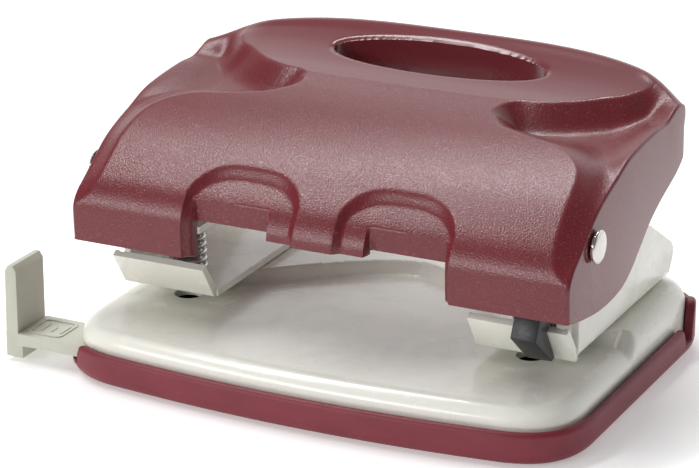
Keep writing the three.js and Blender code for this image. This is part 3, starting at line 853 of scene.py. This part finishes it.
# %% Cover: the lines that the features follow
# Each point of the ridge is (x, y, z, how steeply the hollow falls away from it).
RIDGE = [(24.4, 25.9, 56.7, 0.9), (22.6, 22.9, 56.5, 0.9), (22.3, 18.9, 56.2, 0.9), (23.4, 15.9, 56, 0.8),
         (26.4, 12.7, 55.5, 0.6), (30, 10.6, 55.2, 0.52), (35.2, 8.9, 54.9, 0.5), (41.3, 6.8, 54.5, 0.5),
         (45.1, 4.4, 53.8, 0.54), (47.9, 1.4, 53, 0.6), (49.4, -2.6, 51.6, 0.68), (50.2, -7.5, 49.3, 0.66),
         (50.5, -12.1, 45.9, 0.6), (50.9, -16.3, 42.2, 0.52), (51.8, -18.6, 39.8, 0.45),
         (53.2, -19.8, 37.6, 0.35), (55, -20.2, 35.8, 0.25), (57, -20.3, 33.6, 0.15)]
CREASE = [(24.4, 25.9), (30.3, 27.3), (36.5, 30), (41.5, 33.4), (45, 36.5), (47.4, 40.4), (48.2, 43.6),
          (48.2, 47)]
ridge_line = curve_points([(x, along(y, z), steep) for x, y, z, steep in RIDGE], 5)
crease_line = curve_points([(x, along(y, 58)) for x, y in CREASE], 4)


def crease_y(x):
    """Where the front edge of the top face is."""
    line = [(0, 25.2), (16, 25.3)] + CREASE[:6]
    return np.interp(np.abs(x), [point[0] for point in line], [point[1] for point in line])


def nearest(line, x, s):
    """Distance from each (x, s) to a run of points, and the run's third value there."""
    best = np.full(x.shape, 1e9)
    value = np.zeros(x.shape)
    for a, b in zip(line[:-1], line[1:]):
        d = b[:2] - a[:2]
        t = np.clip(((x - a[0]) * d[0] + (s - a[1]) * d[1]) / (d @ d), 0, 1)
        distance = np.hypot(x - a[0] - t * d[0], s - a[1] - t * d[1])
        closer = distance < best
        best = np.where(closer, distance, best)
        if len(a) > 2:
            value = np.where(closer, a[2] + t * (b[2] - a[2]), value)
    return best, value


def enclosed(outline, x, s):
    """Whether each (x, s) lies within a closed outline."""
    inside = np.zeros(x.shape, bool)
    for a, b in zip(outline, np.roll(outline, -1, 0)):
        crosses = (a[1] > s) != (b[1] > s)
        inside ^= crosses & (x < (b[0] - a[0]) * (s - a[1]) / (b[1] - a[1] + 1e-12) + a[0])
    return inside


HOLLOW = np.vstack([ridge_line[:, :2], [(60, ridge_line[-1, 1]), (60, 130), (crease_line[-1, 0], 130)],
                    crease_line[::-1]])


print("ridge and crease:", len(ridge_line), "and", len(crease_line), "points")


# %% [markdown]
# Each feature is a depth at a point of the sheet: zero outside its line, then down to a floor. Taking the
# lesser of two slopes makes a valley between them, and taking it smoothly gives the valley a round bottom.

# %% Cover: the depths of the features
def hollow_depth(x, y, s):
    """The thumb rest and the side hollow: zero on their lines, rounded between."""
    across = np.abs(x)
    from_ridge, steep = nearest(ridge_line, across, s)
    from_crease = nearest(crease_line, across, s)[0]
    from_ridge = np.hypot(from_ridge, 0.4) - 0.4
    from_crease = np.hypot(from_crease, 0.3) - 0.3
    at_side = smoothstep((across - 45) / 11)
    floor = 3.6 - 0.4 * at_side + smoothstep((y - 2) / 10) * (1.6 - 2.4 * at_side)
    depth = smooth_min(smooth_min(steep * from_ridge, floor, 1.6), 0.95 * from_crease, 1.8)
    depth = np.maximum(depth, 0) * enclosed(HOLLOW, across, s)
    return depth * (1 - smoothstep((y - rear_edge(x) + 12) / 9.5))


WINDOW = {"inner": 11.3, "outer": 28.7, "bottom": 35.4, "face": -16.6}
ARCH = {"middle": 17.3, "half": 13.1, "shoulder_z": 39.8, "rise": 7.4, "depth": 1.3}


def arch_depth(x, z):
    """The two arched recesses over the windows."""
    across = np.abs(x)
    middle, half = ARCH["middle"], ARCH["half"]
    shoulder = np.clip(1 - np.abs((across - middle) / half) ** 3.0, 0, 1) ** 0.5
    arch_top = ARCH["shoulder_z"] + ARCH["rise"] * shoulder
    outer = middle + half - across
    inner = (across - middle + half) / 1.8
    ceiling = (arch_top - z) / 2.4
    share = smooth_min(smooth_min(outer, inner, 0.3), ceiling, 0.35)
    return ARCH["depth"] * smoothstep(share)


SLOT = {"x": 24.6, "y": 6.9, "middle": 41, "round": 1.6, "cut": 0.4}


def slot_depth(x, y):
    """The rolled rim of the finger slot."""
    level = np.hypot(x / SLOT["x"], (y - SLOT["middle"]) / SLOT["y"]) + 1e-9
    slope = np.hypot(x / SLOT["x"] ** 2, (y - SLOT["middle"]) / SLOT["y"] ** 2) / level + 1e-9
    outside = np.clip((level - 1) / slope, SLOT["cut"], SLOT["round"])
    r = SLOT["round"]
    return r - np.sqrt(np.maximum(r * r - (r - outside) ** 2, 0))


print("windows", round(WINDOW["outer"] - WINDOW["inner"], 1), "mm wide; slot", 2 * SLOT["x"], "mm long")


# %% [markdown]
# The sheet is now bent by those depths, station by station across the handle, and closed by the lower edge
# of the cheek. The inside is the same sheet one wall thickness deeper. What has crisp edges on the real
# part, the slot's well, the windows and the axle holes, is cut afterwards.

# %% Cover: rings and shell
CHEEK_EDGE = [(42.9, 45.6), (42.6, 43.6), (39.4, 41.5), (35, 39.8), (30.3, 38.1), (24.5, 35.4), (19, 31.6),
              (14.2, 28.2), (9, 25.9), (3, 25.1), (-3.5, 25.1), (-10, 25.9), (-16.1, 27)]


def normals(points, closed=False):
    if closed:
        run = np.roll(points, -1, 0) - np.roll(points, 1, 0)
    else:
        run = np.gradient(points, axis=0)
    run = run / np.linalg.norm(run, axis=1)[:, None]
    return np.column_stack([-run[:, 1], run[:, 0]])


def cover_curve(x, count, extra=0.0):
    """The displaced outer section at x, moved inwards by extra."""
    base, s = resampled(section(x), count)
    y, z = base[:, 0], base[:, 1]
    xs = np.full(count, x)
    depth = hollow_depth(xs, y, s) + arch_depth(xs, z) * (y < 0) + slot_depth(xs, y) * (y > 25) + extra
    moved = base - depth[:, None] * normals(base)
    inner, outer = [smoothstep((abs(x) - WINDOW[key]) / 0.5 + 0.5) for key in ("inner", "outer")]
    front = (moved[:, 1] < 46) & (moved[:, 0] < -8)
    cut = np.maximum(WINDOW["face"] + extra - moved[:, 0], 0) * front
    moved[:, 0] += cut * (inner - outer)
    return moved


def cover_body(columns, count):
    lower = curve_points(CHEEK_EDGE, 4)
    last = WIDTH - EDGE
    rings = []
    inner_stations = np.linspace(-last, last, columns)
    round_steps = last + EDGE * np.sin(np.radians([30, 60, 78, 90]))
    for x in np.concatenate([-round_steps[::-1], inner_stations, round_steps]):
        ring = np.vstack([cover_curve(max(-last, min(last, x)), count), lower])
        into = max(abs(x) - last, 0)
        inset = EDGE - math.sqrt(max(EDGE * EDGE - into * into, 0))
        ring = ring - inset * normals(ring, True)
        rings.append(np.column_stack([np.full(len(ring), x), ring]))
    return loft("moulded_cover", rings, 30)


def cover_inside(columns, count):
    rings = []
    for x in np.linspace(-(WIDTH - CHEEK), WIDTH - CHEEK, columns):
        curve = cover_curve(x, count, WALL)
        ring = np.vstack([[(curve[0][0], 10)], curve, [(curve[-1][0], 50), (curve[-1][0], 10)]])
        rings.append(np.column_stack([np.full(len(ring), x), ring]))
    return loft("cover_inside", rings, 30)


def slot_ring(grow):
    return [((SLOT["x"] + grow) * math.cos(a), SLOT["middle"] + (SLOT["y"] + grow) * math.sin(a))
            for a in np.linspace(0, 2 * math.pi, 160, endpoint=False)]


def handle_cover():
    columns, count = ((225, 200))
    body = cover_body(columns, count)
    collar = prism("collar", slot_ring(1.6), 49, 90, "z")
    inside = combine(cover_inside(120, 110), [collar], "DIFFERENCE")
    body = combine(body, [inside], "DIFFERENCE")
    cuts = [block("mouth", (-11.35, -40, 0), (11.35, -8, 34.4))]
    for _, side in SIDES:
        near, far = sorted((side * WINDOW["inner"], side * WINDOW["outer"]))
        cuts.append(block("window", (near, -40, 0), (far, -8, WINDOW["bottom"])))
    cuts.append(prism("well", slot_ring(SLOT["cut"]), 40, 80, "z"))
    cuts.append(bore(AXLE_BORE, -60, 60, (0, AXLE_Y, AXLE_Z), "x"))
    return combine(body, cuts, "DIFFERENCE", 30)


def grain_attribute(piece):
    """Writes how deep the moulded grain is at each point; where it is shallow, on the top face and the flat sides,
    the material also paints the colour lighter as a painted sheen.
    """
    points = np.empty(len(piece.data.vertices) * 3)
    piece.data.vertices.foreach_get("co", points)
    x, y, z = (points.reshape(-1, 3) / MM).T
    top = smoothstep((y - crease_y(x)) / 1.2 + 0.5) * (np.abs(x) < CREASE[-1][0] + 0.5) * (z > 50)
    flat_side = (np.abs(x) > WIDTH - 0.4)
    # Shallow grain here also makes the material paint the colour lighter: painted sheen on the top face and the
    # flat sides.
    depth = np.where(flat_side, 0.15, 1 - 0.9 * top)
    attribute = piece.data.attributes.new("grain_depth", "FLOAT", "POINT")
    attribute.data.foreach_set("value", depth.astype(np.float32))


cover = handle_cover()
grain_attribute(cover)
finished(cover, "handle_plastic", "handle", "handle_cover")
print("cover:", len(cover.data.polygons), "faces, box", [round(c / MM, 1) for c in cover.dimensions])


# %% [markdown]
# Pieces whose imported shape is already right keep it, and only get their finish.

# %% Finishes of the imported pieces
SLOT_OF = {part["node"]: part["material_slot"] for part in frame["record"]["subparts"]}
for node, piece in frame["nodes"].items():
    piece.data.materials.clear()
    piece.data.materials.append(FINISH[SLOT_OF[node]])
print("finished", len(frame["nodes"]), "packed pieces, most of them now hidden by finer ones")


# %% [markdown]
# A pale floor, a long narrow soft box overhead, a second one farther off and low in front, and a dim even
# room. The overhead box makes the sheen along the bulging front, the low one lights the lips of the
# brackets, and a white backdrop behind fills the gloss of the top face and the enamel.

# %% Floor and light
def floor():
    reach = 4000
    corners = [(-reach, -reach, 0), (reach, -reach, 0), (reach, reach, 0), (-reach, reach, 0)]
    piece = mesh_object("floor", corners, [[0, 1, 2, 3]])
    piece.location.z = TRAY_LOW[2] * MM
    piece.data.materials.append(new_material(
        "pale_floor", Roughness=0.9, Base_Color=linear("#f6f6f6"), Emission_Color=linear("#ffffff"),
        Emission_Strength=0.3)[0])


def soft_box(name, place, target, size, power):
    light = bpy.data.lights.new(name, "AREA")
    light.shape = "RECTANGLE"
    light.size, light.size_y = size
    light.energy = power
    lamp = bpy.data.objects.new(name, light)
    bpy.context.scene.collection.objects.link(lamp)
    lamp.location = place
    lamp.rotation_euler = (Vector(target) - Vector(place)).to_track_quat("-Z", "Y").to_euler()


def room():
    """An even dim room with a white backdrop behind."""
    world = bpy.data.worlds.new("room")
    bpy.context.scene.world = world
    world.use_nodes = True
    tree = world.node_tree
    background = tree.nodes["Background"]
    place = add_node(tree, "ShaderNodeTexCoord")
    way = add_node(tree, "ShaderNodeSeparateXYZ", None, {"Vector": (place, "Generated")})
    low = add_node(tree, "ShaderNodeMapRange", None, {
        "Value": (way, "Z"), "From Min": 0.44, "From Max": 0.72, "To Min": 1.0, "To Max": 0.0})
    behind = add_node(tree, "ShaderNodeMapRange", None, {
        "Value": (way, "Y"), "From Min": 0.2, "From Max": 0.7})
    backdrop = add_node(tree, "ShaderNodeMath", {"operation": "MULTIPLY"}, {
        0: (low, "Result"), 1: (behind, "Result")})
    share = add_node(tree, "ShaderNodeMapRange", None, {
        "Value": (backdrop, "Value"), "To Min": 0.2, "To Max": 1.15})
    tree.links.new(share.outputs["Result"], background.inputs["Strength"])
    background.inputs["Color"].default_value = linear("#ffffff")


floor()
room()
soft_box("overhead", (-0.24, 0.1, 0.66), (0, 0, 0.04), (0.9, 0.11), 4.4)
soft_box("front", (-0.46, -0.95, 0.36), (0, 0, 0.03), (0.7, 0.25), 4.4)
print("lit by two soft boxes and a dim room")


# %% [markdown]
# The camera stands to the right, in front and a little above, with a long lens, so that the lines of the
# punch stay almost parallel. Its place is in metres and its two angles say where it looks.

# %% Camera
def camera():
    lens = bpy.data.cameras.new("camera")
    lens.lens = 154.5
    lens.sensor_width = 36
    lens.clip_start = 0.01
    view = bpy.data.objects.new("camera", lens)
    bpy.context.scene.collection.objects.link(view)
    azimuth, elevation = math.radians(26.15), math.radians(19.98)
    view.location = (0.2571, -0.5264, 0.2445)
    look = Vector((-math.sin(azimuth) * math.cos(elevation), math.cos(azimuth) * math.cos(elevation),
                   -math.sin(elevation)))
    view.rotation_euler = look.to_track_quat("-Z", "Y").to_euler()
    bpy.context.scene.camera = view


camera()
bpy.context.scene.view_settings.view_transform = "Standard"
print("camera at", tuple(round(c, 4) for c in bpy.context.scene.camera.location))


# %% [markdown]
# The finer pieces must not change the size of the object. The last line brings the scene up to date.

# %% The end
bpy.context.view_layer.update()
